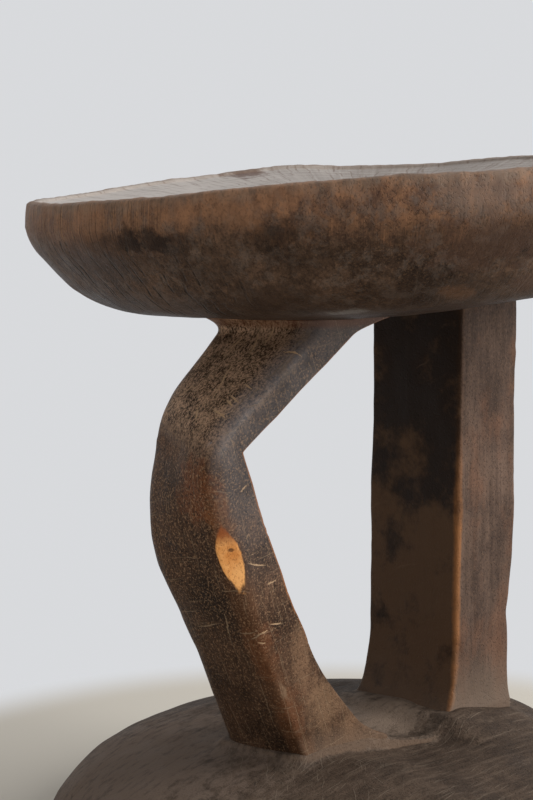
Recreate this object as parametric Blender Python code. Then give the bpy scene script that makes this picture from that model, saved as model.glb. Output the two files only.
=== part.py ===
# Tonga stool: a round dished seat on a bent leg and a straight post, over a domed round base.
# The real stool is carved from one log. Its four members meet face to face, with a fine cut between them.
# Metres, +Z up. The origin is on the floor under the middle of the base. +X runs from the bent leg to the
# post, and the flat sides of both supports face -Y and +Y.

import math

import bmesh
import bpy
from mathutils import Matrix

# Seat
SEAT_DIAMETER = 0.300
SEAT_HEIGHT = 0.311  # floor to the rim, measured on the stool's axis
SEAT_THICKNESS = 0.0625  # rim to the lowest point of the underside
SEAT_BAND = 0.012  # upright band under the rim
SEAT_BAND_LEAN = 0.002  # the band leans in by this much at the rim
SEAT_DISH = 0.011  # hollow of the top below the rim
SEAT_DISH_FULLNESS = 2.4  # 2 is an even hollow, more is flatter in the middle
SEAT_LIP = 0.006  # width of the rounded rim
SEAT_LIP_RISE = 0.0015  # its roundness
SEAT_CLIMB_TO_POST = 0.057  # rise for each metre towards the post
SEAT_CLIMB_TO_FRONT = 0.027  # rise for each metre towards -Y
SEAT_WAVE = 0.002  # the rim is this much higher at the front and back than at the sides

# Base
BASE_DIAMETER = 0.294
BASE_HEIGHT = 0.0555  # floor to the crown of the dome
BASE_FLOOR_ROUND = 0.006  # rounding of the lower edge
BASE_CLIMB_TO_POST = 0.009  # rise of the dome for each metre towards the post
BASE_CLIMB_TO_FRONT = 0.015  # rise of the dome for each metre towards -Y
BASE_SCOOP = 0.0045  # the dome is carved lower by this in front of the post
BASE_SCOOP_RUN = 0.045  # length over which that comes in
PLINTH_RISE = 0.0012  # the supports stand on a low plinth, this much above the crown
PLINTH_CLIMB_TO_FRONT = 0.1  # rise of its top for each metre towards -Y
PLINTH_MARGIN = 0.0005  # how far it stands out round the feet
PLINTH_LEG_SKIRT = 0.014  # how much wider its foot is than its top at the leg
PLINTH_POST_SKIRT = 0.004  # and at the post
PLINTH_CORNER = 0.008
HOLLOW_DEPTH = 0.0045  # sag of the plinth between the feet
HOLLOW_ROUND = 0.070  # radius of that sag
HOLLOW_TO_POST = 0.020  # its lowest line to the post's inner face
HOLLOW_CLIMB_TO_BACK = 0.08  # rise of that line for each metre towards +Y

# Both supports
SUPPORT_WIDTH = 0.053  # from the front side face to the back one

# Bent leg: its front face seen from the front. Thickness is measured level, from the outer edge.
HIP_X = -0.050
KNEE_X = -0.1215
FOOT_X = -0.0615
HIP_THICKNESS = 0.0255
KNEE_THICKNESS = 0.024
FOOT_THICKNESS = 0.015
KNEE_DROP = 0.049  # seat's underside to the outer corner of the knee
CROTCH_DROP = 0.052  # seat's underside to the sharp inner corner of the knee
KNEE_ROUND = 0.005
CROTCH_ROUND = 0.00025
CALF_BOW = 0.004  # how far the shin bows out
LEG_FOOT_FLARE = 0.030
LEG_FOOT_FLARE_HEIGHT = 0.069
LEG_FOOT_FLARE_CURVE = 1.5  # 1 is a straight slope, more is hollower
LEG_TOP_FLARE = 0.016
LEG_TOP_FLARE_HEIGHT = 0.008
LEG_TOP_FLARE_CURVE = 2.0

# Bent leg: its outer edge at the back, which stands out more and bends lower and rounder
BACK_HIP_OUTSET = 0.014
BACK_KNEE_OUTSET = 0.001
BACK_FOOT_OUTSET = 0.0025
BACK_KNEE_DROP = 0.0595
BACK_KNEE_ROUND = 0.022
OUTER_BULGE = 0.003  # swell of the rounded outer face
BACK_CORNER_ROUND = 0.016
RIDGE_ROUND = 0.0025
INNER_CORNER_ROUND = 0.001

# Straight post
POST_X = 0.038  # its inner face
POST_THICKNESS = 0.0425
POST_TOP_LEAN = 0.005  # the inner face draws back by this much at the seat
POST_FOOT_FLARE = 0.005
POST_FOOT_FLARE_HEIGHT = 0.036
POST_FOOT_FLARE_CURVE = 2.0
POST_CORNER_ROUND = 0.003

SAW_CUT = 0.0003  # clearance where two members meet
STOCK = 0.020  # spare length at a support's end before it is cut to the seat or the base
MOST_ROUND_SHARE = 0.45  # a rounding takes at most this share of a side

# Shares of the seat's radius and of its bowl's height, from the middle of the underside to the girth
SEAT_BOWL = (
    (0.0, 0.0),
    (0.27, 0.015),
    (0.63, 0.15),
    (0.77, 0.225),
    (0.87, 0.405),
    (0.96, 0.70),
    (1.0, 1.0),
)
# Shares of the base's radius and height, from the crown to the girth
BASE_DOME = (
    (0.0, 1.0),
    (0.27, 0.995),
    (0.48, 0.955),
    (0.66, 0.84),
    (0.87, 0.60),
    (0.97, 0.335),
    (1.0, 0.16),
)

# Fineness of the curves
ROUND_STEPS = 64
DISH_STEPS = 8
LIP_STEPS = 5
SIDE_STEPS = 13
SIDE_CROWDING = 1.45  # steps lie closer together towards the girth
FLOOR_STEPS = 4
SHIN_STEPS = 22
THIGH_STEPS = 20
POST_STEPS = 16

WOOD_COLOURS = {
    "seat": (0.105, 0.058, 0.034),
    "knee_leg": (0.070, 0.046, 0.034),
    "straight_post": (0.078, 0.048, 0.034),
    "base": (0.115, 0.095, 0.078),
}
WOOD_ROUGHNESS = 0.48
SHARP_ANGLE = math.radians(40)

BELLY = SEAT_HEIGHT - SEAT_THICKNESS
PLINTH_TOP = BASE_HEIGHT + PLINTH_RISE
HALF_WIDTH = SUPPORT_WIDTH / 2

for item in list(bpy.data.objects):
    bpy.data.objects.remove(item)


def curve_at(stations, at):
    """Value at a place on a smooth curve through a few stations, given in rising order."""
    last = len(stations) - 1
    k = 0
    while k < last - 1 and at > stations[k + 1][0]:
        k += 1

    def slope(i):
        low, high = max(i - 1, 0), min(i + 1, last)
        return (stations[high][1] - stations[low][1]) / (stations[high][0] - stations[low][0])

    (x0, y0), (x1, y1) = stations[k], stations[k + 1]
    span = x1 - x0
    t = (at - x0) / span
    start = y0 * (1 + 2 * t) * (1 - t) ** 2 + slope(k) * span * t * (1 - t) ** 2
    end = y1 * (3 - 2 * t) * t**2 + slope(k + 1) * span * t**2 * (t - 1)
    return start + end


def smooth_max(a, b, rounding):
    """The larger of two values, with the corner where they cross rounded off."""
    high, low = max(a, b), min(a, b)
    return high + rounding * math.log1p(math.exp((low - high) / rounding))


def flare(height, reach, amount, power):
    """How far a surface has spread at a height inside its flare, which starts at no spread."""
    return amount * min(max(height / reach, 0.0), 1.0) ** power


def ease(at, run):
    """Share from 0 to 1, coming in smoothly over a run."""
    t = min(max(at / run, 0.0), 1.0)
    return t * t * (3 - 2 * t)


def finish(name, bm):
    """The finished bmesh as an object, with a wood of its own where it is a member of the stool."""
    bmesh.ops.recalc_face_normals(bm, faces=bm.faces)
    mesh = bpy.data.meshes.new(name)
    bm.to_mesh(mesh)
    bm.free()
    obj = bpy.data.objects.new(name, mesh)
    bpy.context.scene.collection.objects.link(obj)
    if name in WOOD_COLOURS:
        material = bpy.data.materials.new(name + "_wood")
        material.use_nodes = True
        shader = material.node_tree.nodes["Principled BSDF"]
        shader.inputs["Base Color"].default_value = (*WOOD_COLOURS[name], 1.0)
        shader.inputs["Roughness"].default_value = WOOD_ROUGHNESS
        shader.inputs["Metallic"].default_value = 0.0
        mesh.materials.append(material)
    mesh.shade_smooth()
    mesh.set_sharp_from_angle(angle=SHARP_ANGLE)
    return obj


def as_guide(obj):
    """Keeps an object out of the part, for use as a cutter or a form."""
    obj.hide_render = True
    obj.display_type = "WIRE"
    return obj


def combine(obj, operation, other):
    joined = obj.modifiers.new(operation.lower() + "_" + other.name, "BOOLEAN")
    joined.operation = operation
    joined.solver = "EXACT"
    joined.object = other


def apply_modifiers(obj):
    graph = bpy.context.evaluated_depsgraph_get()
    obj.data = bpy.data.meshes.new_from_object(obj.evaluated_get(graph))
    obj.modifiers.clear()


def clearance_of(obj, shift):
    """A cutter of an object's shape, moved up or down by the saw cut."""
    cutter = bpy.data.objects.new(obj.name + "_clearance", obj.data)
    bpy.context.scene.collection.objects.link(cutter)
    cutter.location.z = shift
    return as_guide(cutter)


def turned(profile):
    """A solid turned about Z from a profile that starts and ends on the axis."""
    bm = bmesh.new()
    verts = [bm.verts.new((r, 0.0, z)) for r, z in profile]
    edges = [bm.edges.new(pair) for pair in zip(verts, verts[1:])]
    bmesh.ops.spin(
        bm,
        geom=verts + edges,
        cent=(0, 0, 0),
        axis=(0, 0, 1),
        angle=2 * math.pi,
        steps=ROUND_STEPS,
        use_merge=True,
    )
    bmesh.ops.remove_doubles(bm, verts=bm.verts, dist=1e-6)
    return bm


def lofted(outlines):
    """A solid skinned over outlines of equal count, each a list of points, from the bottom up."""
    count = len(outlines[0])
    bm = bmesh.new()
    foot = bmesh.ops.create_circle(bm, cap_ends=True, segments=count, radius=1.0)["verts"]
    ring = sorted(foot, key=lambda v: math.atan2(v.co.y, v.co.x))
    for level, places in enumerate(outlines):
        if level:
            edges = [bm.edges.get((ring[i - 1], ring[i])) for i in range(count)]
            grown = bmesh.ops.extrude_edge_only(bm, edges=edges)["geom"]
            upper = {v for v in grown if isinstance(v, bmesh.types.BMVert)}
            ring = [next(e.other_vert(v) for e in v.link_edges if e.other_vert(v) in upper) for v in ring]
        for vert, place in zip(ring, places):
            vert.co = place
    bmesh.ops.contextual_create(bm, geom=ring)
    bmesh.ops.triangulate(bm, faces=[f for f in bm.faces if len(f.verts) > 4])
    return bm


def outline(corners, side_steps, z, bulge=0.0):
    """Four-sided outline at height z. A corner is (x, y, rounding, steps). The last side swells."""

    def leave(corner, other):
        side = math.hypot(other[0] - corner[0], other[1] - corner[1])
        share = min(corner[2] / side, MOST_ROUND_SHARE)
        return corner[0] + (other[0] - corner[0]) * share, corner[1] + (other[1] - corner[1]) * share

    points = []
    for k, corner in enumerate(corners):
        following = corners[(k + 1) % 4]
        start, end = leave(corner, corners[k - 1]), leave(corner, following)
        stop = leave(following, corner)
        for i in range(corner[3] + 1):
            t = i / corner[3]
            weights = (1 - t) ** 2, 2 * t * (1 - t), t**2
            guides = start, corner, end
            x, y = (sum(w * p[axis] for w, p in zip(weights, guides)) for axis in (0, 1))
            points.append((x, y, z))
        for i in range(1, side_steps[k]):
            t = i / side_steps[k]
            swell = bulge * 4 * t * (1 - t) if k == 3 else 0.0
            x, y = (end[axis] + (stop[axis] - end[axis]) * t for axis in (0, 1))
            points.append((x - swell, y, z))
    return points


# Seat: a turned bowl with a hollow top, leaned and waved as it was carved
def make_seat():
    radius = SEAT_DIAMETER / 2
    girth = SEAT_HEIGHT - SEAT_BAND
    crest = radius - SEAT_BAND_LEAN - SEAT_LIP / 2
    lip_foot = SEAT_HEIGHT - SEAT_LIP_RISE
    profile = []
    for i in range(DISH_STEPS + 1):
        share = i / DISH_STEPS
        sag = SEAT_DISH * (1 - share**SEAT_DISH_FULLNESS)
        profile.append(((crest - SEAT_LIP / 2) * share, lip_foot - sag))
    for i in range(1, LIP_STEPS + 1):
        turn = math.pi * i / LIP_STEPS
        rise = SEAT_LIP_RISE * math.sin(turn)
        profile.append((crest - SEAT_LIP / 2 * math.cos(turn), lip_foot + rise))
    for i in range(SIDE_STEPS + 1):
        share = 1 - (i / SIDE_STEPS) ** SIDE_CROWDING
        profile.append((radius * share, BELLY + (girth - BELLY) * curve_at(SEAT_BOWL, share)))
    bm = turned(profile)
    for vert in bm.verts:
        x, y, z = vert.co
        wave = SEAT_WAVE * (y * y - x * x) / radius**2 * (z - BELLY) / SEAT_THICKNESS
        vert.co.z += SEAT_CLIMB_TO_POST * x - SEAT_CLIMB_TO_FRONT * y + wave
    return finish("seat", bm)


# Base: a turned dome with a low plinth under the two feet, hollowed between them
def make_base():
    radius = BASE_DIAMETER / 2
    profile = []
    for i in range(SIDE_STEPS + 1):
        share = 1 - (1 - i / SIDE_STEPS) ** SIDE_CROWDING
        profile.append((radius * share, BASE_HEIGHT * curve_at(BASE_DOME, share)))
    for i in range(FLOOR_STEPS + 1):
        turn = math.pi / 2 * i / FLOOR_STEPS
        inset, rise = BASE_FLOOR_ROUND * (1 - math.cos(turn)), BASE_FLOOR_ROUND * (1 - math.sin(turn))
        profile.append((radius - inset, rise))
    profile.append((0.0, 0.0))
    bm = turned(profile)
    for vert in bm.verts:
        x, y, z = vert.co
        scoop = BASE_SCOOP * ease(-y, BASE_SCOOP_RUN / 2) * ease(x + BASE_SCOOP_RUN, BASE_SCOOP_RUN)
        climb = BASE_CLIMB_TO_POST * x - BASE_CLIMB_TO_FRONT * y
        vert.co.z += (climb - scoop) * z / BASE_HEIGHT
    base = finish("base", bm)
    combine(base, "UNION", plinth_form())
    combine(base, "DIFFERENCE", hollow_form())
    apply_modifiers(base)
    return base


def plinth_form():
    left, right = FOOT_X - BACK_FOOT_OUTSET - PLINTH_MARGIN, POST_X + POST_THICKNESS + PLINTH_MARGIN
    half = HALF_WIDTH + PLINTH_MARGIN
    plan = (
        (left, -half, PLINTH_LEG_SKIRT),
        (right, -half, PLINTH_POST_SKIRT),
        (right, half, PLINTH_POST_SKIRT),
        (left, half, PLINTH_LEG_SKIRT),
    )
    levels = []
    for z, share in ((BASE_HEIGHT / 2, 1.0), (BASE_HEIGHT, 0.5), (PLINTH_TOP, 0.0)):
        corners = []
        for x, y, skirt in plan:
            grow = skirt * share
            place = x + math.copysign(grow, x), y + math.copysign(grow, y)
            corners.append((*place, PLINTH_CORNER, 3))
        points = outline(corners, (6, 2, 6, 2), z)
        levels.append([(x, y, top - PLINTH_CLIMB_TO_FRONT * y) for x, y, top in points])
    return as_guide(finish("plinth_form", lofted(levels)))


def hollow_form():
    bm = bmesh.new()
    bmesh.ops.create_cone(
        bm,
        cap_ends=True,
        segments=2 * ROUND_STEPS,
        radius1=HOLLOW_ROUND,
        radius2=HOLLOW_ROUND,
        depth=BASE_DIAMETER,
    )
    lean = math.pi / 2 + math.atan(HOLLOW_CLIMB_TO_BACK)
    bmesh.ops.rotate(bm, verts=bm.verts, matrix=Matrix.Rotation(lean, 3, "X"))
    middle = POST_X - HOLLOW_TO_POST
    bmesh.ops.translate(bm, verts=bm.verts, vec=(middle, 0.0, PLINTH_TOP - HOLLOW_DEPTH + HOLLOW_ROUND))
    return as_guide(finish("hollow_form", bm))


# Bent leg: level outlines between three edges, each a thigh and a shin that meet at the knee
def bent_edge(z, hip_x, knee_x, foot_x, knee_z, rounding):
    thigh = knee_x + (hip_x - knee_x) * (z - knee_z) / (BELLY - knee_z)
    shin = knee_x + (foot_x - knee_x) * (z - knee_z) / (PLINTH_TOP - knee_z)
    return smooth_max(thigh, shin, rounding)


def leg_outline(z):
    knee_z = BELLY - KNEE_DROP
    bow = CALF_BOW * math.sin(math.pi * min(max((z - PLINTH_TOP) / (knee_z - PLINTH_TOP), 0.0), 1.0))
    ridge = bent_edge(z, HIP_X, KNEE_X, FOOT_X, knee_z, KNEE_ROUND) - bow
    back = bent_edge(
        z,
        HIP_X - BACK_HIP_OUTSET,
        KNEE_X - BACK_KNEE_OUTSET,
        FOOT_X - BACK_FOOT_OUTSET,
        BELLY - BACK_KNEE_DROP,
        BACK_KNEE_ROUND,
    )
    inner = bent_edge(
        z,
        HIP_X + HIP_THICKNESS,
        KNEE_X + KNEE_THICKNESS,
        FOOT_X + FOOT_THICKNESS,
        BELLY - CROTCH_DROP,
        CROTCH_ROUND,
    )
    from_flare = PLINTH_TOP + LEG_FOOT_FLARE_HEIGHT - z
    inner += flare(from_flare, LEG_FOOT_FLARE_HEIGHT, LEG_FOOT_FLARE, LEG_FOOT_FLARE_CURVE)
    from_flare = z - BELLY + LEG_TOP_FLARE_HEIGHT
    inner += flare(from_flare, LEG_TOP_FLARE_HEIGHT, LEG_TOP_FLARE, LEG_TOP_FLARE_CURVE)
    corners = (
        (ridge, -HALF_WIDTH, RIDGE_ROUND, 2),
        (inner, -HALF_WIDTH, INNER_CORNER_ROUND, 1),
        (inner, HALF_WIDTH, INNER_CORNER_ROUND, 1),
        (back, HALF_WIDTH, BACK_CORNER_ROUND, 5),
    )
    return outline(corners, (4, 4, 3, 6), z, OUTER_BULGE)


def make_knee_leg():
    crotch = BELLY - CROTCH_DROP
    bottom, top = BASE_HEIGHT - STOCK, BELLY + STOCK
    heights = [bottom + (crotch - bottom) * i / SHIN_STEPS for i in range(SHIN_STEPS)]
    heights += [crotch + (top - crotch) * i / THIGH_STEPS for i in range(THIGH_STEPS + 1)]
    return finish("knee_leg", lofted([leg_outline(z) for z in heights]))


# Straight post: level outlines with a flared foot
def post_outline(z):
    lean = POST_TOP_LEAN * (z - PLINTH_TOP) / (BELLY - PLINTH_TOP)
    from_flare = PLINTH_TOP + POST_FOOT_FLARE_HEIGHT - z
    spread = flare(from_flare, POST_FOOT_FLARE_HEIGHT, POST_FOOT_FLARE, POST_FOOT_FLARE_CURVE)
    inner, outer = POST_X + lean - spread, POST_X + POST_THICKNESS
    half = HALF_WIDTH + spread / 2
    plan = (inner, -half), (outer, -half), (outer, half), (inner, half)
    corners = [(x, y, POST_CORNER_ROUND, 3) for x, y in plan]
    return outline(corners, (3, 4, 3, 4), z)


def make_straight_post():
    bottom, top = BASE_HEIGHT - STOCK, BELLY + STOCK
    heights = [bottom + (top - bottom) * i / POST_STEPS for i in range(POST_STEPS + 1)]
    return finish("straight_post", lofted([post_outline(z) for z in heights]))


stool = bpy.data.objects.new("tonga_stool", None)
bpy.context.scene.collection.objects.link(stool)
seat, base = make_seat(), make_base()
knee_leg, straight_post = make_knee_leg(), make_straight_post()
seat_clearance, base_clearance = clearance_of(seat, -SAW_CUT), clearance_of(base, SAW_CUT)
for support in (knee_leg, straight_post):
    combine(support, "DIFFERENCE", seat_clearance)
    combine(support, "DIFFERENCE", base_clearance)
for member in (seat, base, knee_leg, straight_post):
    member.parent = stool
print("ok")
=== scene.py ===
import math

import bmesh
import bpy
from mathutils import Matrix, Vector, noise


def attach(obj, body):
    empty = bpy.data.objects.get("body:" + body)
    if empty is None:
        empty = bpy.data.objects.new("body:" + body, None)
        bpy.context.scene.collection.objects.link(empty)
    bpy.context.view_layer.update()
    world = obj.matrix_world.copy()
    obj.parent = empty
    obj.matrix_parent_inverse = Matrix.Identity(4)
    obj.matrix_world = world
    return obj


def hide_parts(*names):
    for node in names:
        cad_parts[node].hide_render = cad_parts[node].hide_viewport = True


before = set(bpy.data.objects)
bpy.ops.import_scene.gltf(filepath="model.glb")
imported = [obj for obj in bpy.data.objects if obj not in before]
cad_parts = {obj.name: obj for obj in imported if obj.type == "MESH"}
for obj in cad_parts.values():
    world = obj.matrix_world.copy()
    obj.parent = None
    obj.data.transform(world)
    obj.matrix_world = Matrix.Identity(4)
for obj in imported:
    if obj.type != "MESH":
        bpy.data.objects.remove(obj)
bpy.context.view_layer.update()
scene = bpy.context.scene
print("frame loaded")


# small tools for shapes

def eased(low, high, value):
    t = min(max((value - low) / (high - low), 0.0), 1.0)
    return t * t * (3 - 2 * t)


def curveAt(stations, at):
    last = len(stations) - 1
    k = 0
    while k < last - 1 and at > stations[k + 1][0]:
        k += 1

    def slope(i):
        low, high = max(i - 1, 0), min(i + 1, last)
        return (stations[high][1] - stations[low][1]) / (stations[high][0] - stations[low][0])

    (x0, y0), (x1, y1) = stations[k], stations[k + 1]
    span = x1 - x0
    t = (at - x0) / span
    start = y0 * (1 + 2 * t) * (1 - t) ** 2 + slope(k) * span * t * (1 - t) ** 2
    return start + y1 * (3 - 2 * t) * t**2 + slope(k + 1) * span * t**2 * (t - 1)


def smoothMax(a, b, rounding):
    high, low = max(a, b), min(a, b)
    return high + rounding * math.log1p(math.exp((low - high) / rounding))


def smoothMin(a, b, rounding):
    return -smoothMax(-a, -b, rounding)


def bumps(humps, at):
    return sum(amount * math.exp(-(((at - middle) / spread) ** 2)) for middle, spread, amount in humps)


def flare(gap, shape):
    # grows from nothing at its height to its full amount where the gap is nil
    height, amount, power = shape
    return amount * min(max((height - gap) / height, 0.0), 1.0) ** power


def ripple(place, size, offset):
    return noise.noise(Vector(place) / size + Vector((offset, -offset, 0.37 * offset)))


def ripples(place, waves):
    return sum(amount * ripple(place, size, offset) for amount, size, offset in waves)


def nicks(place, stretch, size, offset, depth):
    # only the highest parts of a noise cut in
    x, y, z = place
    return depth * max(ripple((x, y, stretch * z), size, offset) - 0.3, 0.0)


def toolMarks(place, size, depth):
    # shallow scallops with soft crests, as an adze leaves them
    spots = noise.voronoi(Vector((place.x / size, place.y / size, place.z / (1.8 * size))))[0]
    return depth * (min(spots[0], 1.0) ** 2 - 0.35)


def roundedOutline(corners, sideSteps):
    # points as (x, y, nearest corner, distance to it), each corner being (x, y, rounding, steps)
    def leave(corner, other):
        side = math.hypot(other[0] - corner[0], other[1] - corner[1])
        share = min(corner[2] / side, 0.47)
        return corner[0] + (other[0] - corner[0]) * share, corner[1] + (other[1] - corner[1]) * share

    points = []
    for k, corner in enumerate(corners):
        following = corners[(k + 1) % len(corners)]
        start, end, stop = leave(corner, corners[k - 1]), leave(corner, following), leave(following, corner)
        for i in range(corner[3] + 1):
            t = i / corner[3]
            weights = (1 - t) ** 2, 2 * t * (1 - t), t**2
            x, y = (sum(w * p[axis] for w, p in zip(weights, (start, corner, end))) for axis in (0, 1))
            points.append((x, y, k, math.hypot(x - corner[0], y - corner[1])))
        for i in range(1, sideSteps[k]):
            t = i / sideSteps[k]
            x, y = end[0] + (stop[0] - end[0]) * t, end[1] + (stop[1] - end[1]) * t
            toHere = math.hypot(x - corner[0], y - corner[1])
            toNext = math.hypot(x - following[0], y - following[1])
            points.append((x, y, k, toHere) if toHere < toNext else (x, y, (k + 1) % len(corners), toNext))
    return points


def stackedRings(levels, marks):
    # skin over level rings of equal count, grown upwards by extruding the open edge
    bm = bmesh.new()
    layers = [bm.verts.layers.float.new(mark) for mark in marks]
    count = len(levels[0])
    foot = bmesh.ops.create_circle(bm, cap_ends=True, segments=count, radius=1.0)["verts"]
    ring = sorted(foot, key=lambda v: math.atan2(v.co.y, v.co.x))
    rings = []
    for n, places in enumerate(levels):
        if n:
            edges = [bm.edges.get((ring[i - 1], ring[i])) for i in range(count)]
            grown = bmesh.ops.extrude_edge_only(bm, edges=edges)["geom"]
            upper = {v for v in grown if isinstance(v, bmesh.types.BMVert)}
            ring = [next(e.other_vert(v) for e in v.link_edges if e.other_vert(v) in upper) for v in ring]
        for vert, place in zip(ring, places):
            vert.co = place[:3]
        rings.append(ring)
    bmesh.ops.contextual_create(bm, geom=ring)
    bmesh.ops.recalc_face_normals(bm, faces=bm.faces)
    return bm, rings, layers


def turned(profile, steps):
    bm = bmesh.new()
    verts = [bm.verts.new((r, 0.0, z)) for r, z in profile]
    edges = [bm.edges.new(pair) for pair in zip(verts, verts[1:])]
    bmesh.ops.spin(
        bm, geom=verts + edges, cent=(0, 0, 0), axis=(0, 0, 1), angle=2 * math.pi, steps=steps, use_merge=True
    )
    bmesh.ops.remove_doubles(bm, verts=bm.verts, dist=1e-6)
    bmesh.ops.recalc_face_normals(bm, faces=bm.faces)
    return bm


def finishPiece(name, bm, material, node):
    bmesh.ops.recalc_face_normals(bm, faces=bm.faces)
    mesh = bpy.data.meshes.new(name)
    bm.to_mesh(mesh)
    bm.free()
    mesh.shade_smooth()
    mesh.materials.append(material)
    piece = bpy.data.objects.new(name, mesh)
    scene.collection.objects.link(piece)
    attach(piece, "root")
    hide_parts(node)
    print(name, len(mesh.polygons), "faces")


# small tools for materials; the node tree being filled is current["tree"]

current = {}


def link(start, end):
    current["tree"].links.new(start, end)


def add(kind, inputs=None, **properties):
    node = current["tree"].nodes.new("ShaderNode" + kind)
    for key, value in properties.items():
        setattr(node, key, value)
    for key, value in (inputs or {}).items():
        if isinstance(value, bpy.types.NodeSocket):
            link(value, node.inputs[key])
        else:
            node.inputs[key].default_value = value
    return node


def calc(operation, a, b=0.0, clamp=False):
    return add("Math", {0: a, 1: b}, operation=operation, use_clamp=clamp).outputs[0]


def times(a, b, clamp=False):
    return calc("MULTIPLY", a, b, clamp)


def plus(a, b, clamp=False):
    return calc("ADD", a, b, clamp)


def minus(a, b):
    return calc("SUBTRACT", a, b)


def swing(value, size):
    # how far a noise is off its middle, to a given size
    return times(minus(value, 0.5), size)


def highest(values):
    top = values[0]
    for value in values[1:]:
        top = calc("MAXIMUM", top, value)
    return top


def vecCalc(operation, a, b=(0.0, 0.0, 0.0), out=0):
    return add("VectorMath", {0: a, 1: b}, operation=operation).outputs[out]


def scaled(vector, amount):
    return add("VectorMath", {0: vector, "Scale": amount}, operation="SCALE").outputs[0]


def ramp(value, low, high, toLow=0.0, toHigh=1.0):
    settings = {"Value": value, "From Min": low, "From Max": high, "To Min": toLow, "To Max": toHigh}
    return add("MapRange", settings, interpolation_type="SMOOTHSTEP").outputs[0]


def mixed(factor, a, b):
    return add("Mix", {0: factor, 6: a, 7: b}, data_type="RGBA").outputs[2]


def cloud(vector, scale, detail=2.0, rough=0.5):
    node = add("TexNoise", {"Vector": vector, "Scale": scale, "Detail": detail, "Roughness": rough})
    return node.outputs["Fac"]


def strokes(along, where, coarse):
    # lines at random spacing along a value: how far off the nearest is, and a noise of its own to break it up
    cell = add("TexVoronoi", {"W": along, "Scale": 1.0}, voronoi_dimensions="1D").outputs
    own = vecCalc("ADD", where, scaled(cell["Color"], 0.7))
    return cell["Distance"], cloud(own, coarse, 2.0)


def stretched(vector, scale, shift=(0.0, 0.0, 0.0), turn=(0.0, 0.0, 0.0)):
    settings = {"Vector": vector, "Location": shift, "Rotation": turn, "Scale": scale}
    return add("Mapping", settings).outputs[0]


def newGroup(name, inputs, outputs):
    tree = current["tree"] = bpy.data.node_groups.new(name, "ShaderNodeTree")
    for label, kind, value in inputs:
        socket = tree.interface.new_socket(label, in_out="INPUT", socket_type="NodeSocket" + kind)
        socket.default_value = value
    for label, kind in outputs:
        tree.interface.new_socket(label, in_out="OUTPUT", socket_type="NodeSocket" + kind)
    return tree, tree.nodes.new("NodeGroupInput").outputs, tree.nodes.new("NodeGroupOutput").inputs


def place(group, inputs):
    return add("Group", inputs, node_tree=group).outputs


def newMaterial(name):
    material = bpy.data.materials.new(name)
    material.use_nodes = True
    current["tree"] = material.node_tree
    return material


def attribute(name):
    return add("Attribute", attribute_type="GEOMETRY", attribute_name=name).outputs["Fac"]


# effects that the woods share

def buildGrain():
    tree, given, result = newGroup(
        "carvedGrain",
        [("Vector", "Vector", (0, 0, 0)), ("Fineness", "Float", 1.0)],
        [("Streak", "Float"), ("Pore", "Float"), ("Speck", "Float"), ("Mottle", "Float"), ("Shade", "Float")],
    )
    vector = scaled(given["Vector"], given["Fineness"])
    link(cloud(stretched(vector, (1, 1, 0.07)), 420.0, 4.0, 0.62), result["Streak"])
    pores = cloud(stretched(vector, (1, 1, 0.85), (3.1, 0, 0)), 1100.0, 2.0, 0.6)
    link(ramp(pores, 0.52, 0.66), result["Pore"])
    specks = cloud(stretched(vector, (1, 1, 0.9), (0, 7.7, 0)), 1050.0, 3.0, 0.65)
    link(ramp(specks, 0.50, 0.64), result["Speck"])
    link(cloud(given["Vector"], 46.0, 7.0, 0.68), result["Mottle"])
    link(cloud(stretched(given["Vector"], (1, 1, 0.7), (1.3, 2.9, 0)), 15.0, 3.0, 0.55), result["Shade"])
    return tree


def buildWornEdge():
    tree, given, result = newGroup(
        "wornEdge",
        [("Edge", "Float", 0.0), ("Vector", "Vector", (0, 0, 0)), ("Breakup", "Float", 0.6)],
        [("Mask", "Float")],
    )
    patchy = cloud(stretched(given["Vector"], (1, 1, 0.45)), 150.0, 5.0, 0.7)
    shift = swing(patchy, given["Breakup"])
    link(ramp(plus(given["Edge"], shift), 0.35, 0.85), result["Mask"])
    return tree


def buildFineScratches():
    # hair lines that lie square to one direction
    tree, given, result = newGroup(
        "fineScratches",
        [
            ("Vector", "Vector", (0, 0, 0)),
            ("Across", "Vector", (300, 0, 0)),
            ("Amount", "Float", 0.5),
            ("Wander", "Float", 1.2),
        ],
        [("Mask", "Float")],
    )
    wander = times(cloud(given["Vector"], 50.0, 3.0), given["Wander"])
    along = plus(vecCalc("DOT_PRODUCT", given["Vector"], given["Across"], out=1), wander)
    off, broken = strokes(along, given["Vector"], 55.0)
    least = minus(0.8, times(given["Amount"], 0.5))
    kept = times(minus(broken, least), 7.0, clamp=True)
    link(times(ramp(off, 0.02, 0.09, 1.0, 0.0), kept), result["Mask"])
    return tree


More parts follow.
